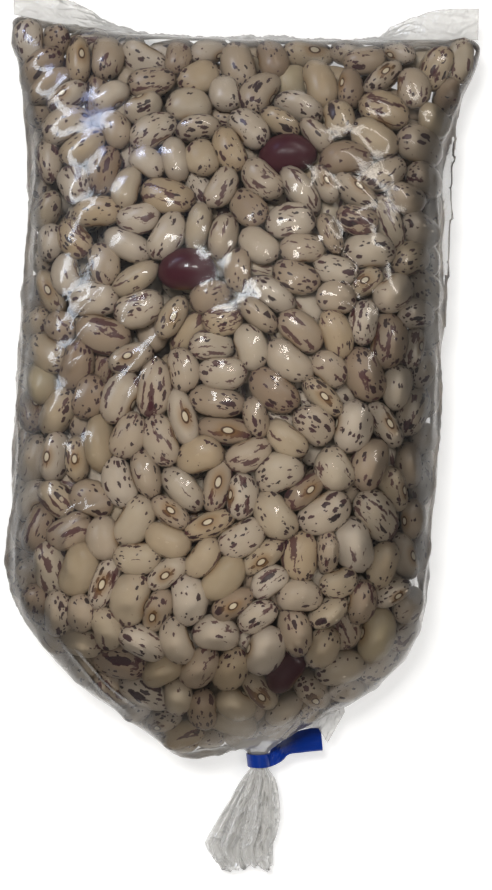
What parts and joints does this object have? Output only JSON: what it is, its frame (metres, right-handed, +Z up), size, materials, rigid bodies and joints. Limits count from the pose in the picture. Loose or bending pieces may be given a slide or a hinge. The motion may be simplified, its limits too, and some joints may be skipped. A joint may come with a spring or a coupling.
{
  "type": "bag of dried beans",
  "caption": "Clear film bag packed full of dried speckled beans, lying flat, with one welded end and a neck gathered and closed with blue tape.",
  "frame": {"origin": "middle of the bag's bounding box, on the surface it lies on", "axes": "+Y along the bag from its taped neck to its welded end, +Z up through the shown side, +X to the right"},
  "size_m": [0.1496, 0.2838, 0.0454],
  "materials": {
    "film_and_beans": "clear glossy film over matt speckled beans",
    "blue_tape": "smooth, slightly glossy"
  },
  "bodies": {
    "root": {"filled_bag": "film_and_beans", "closing_tape": "blue_tape"}
  },
  "joints": []
}
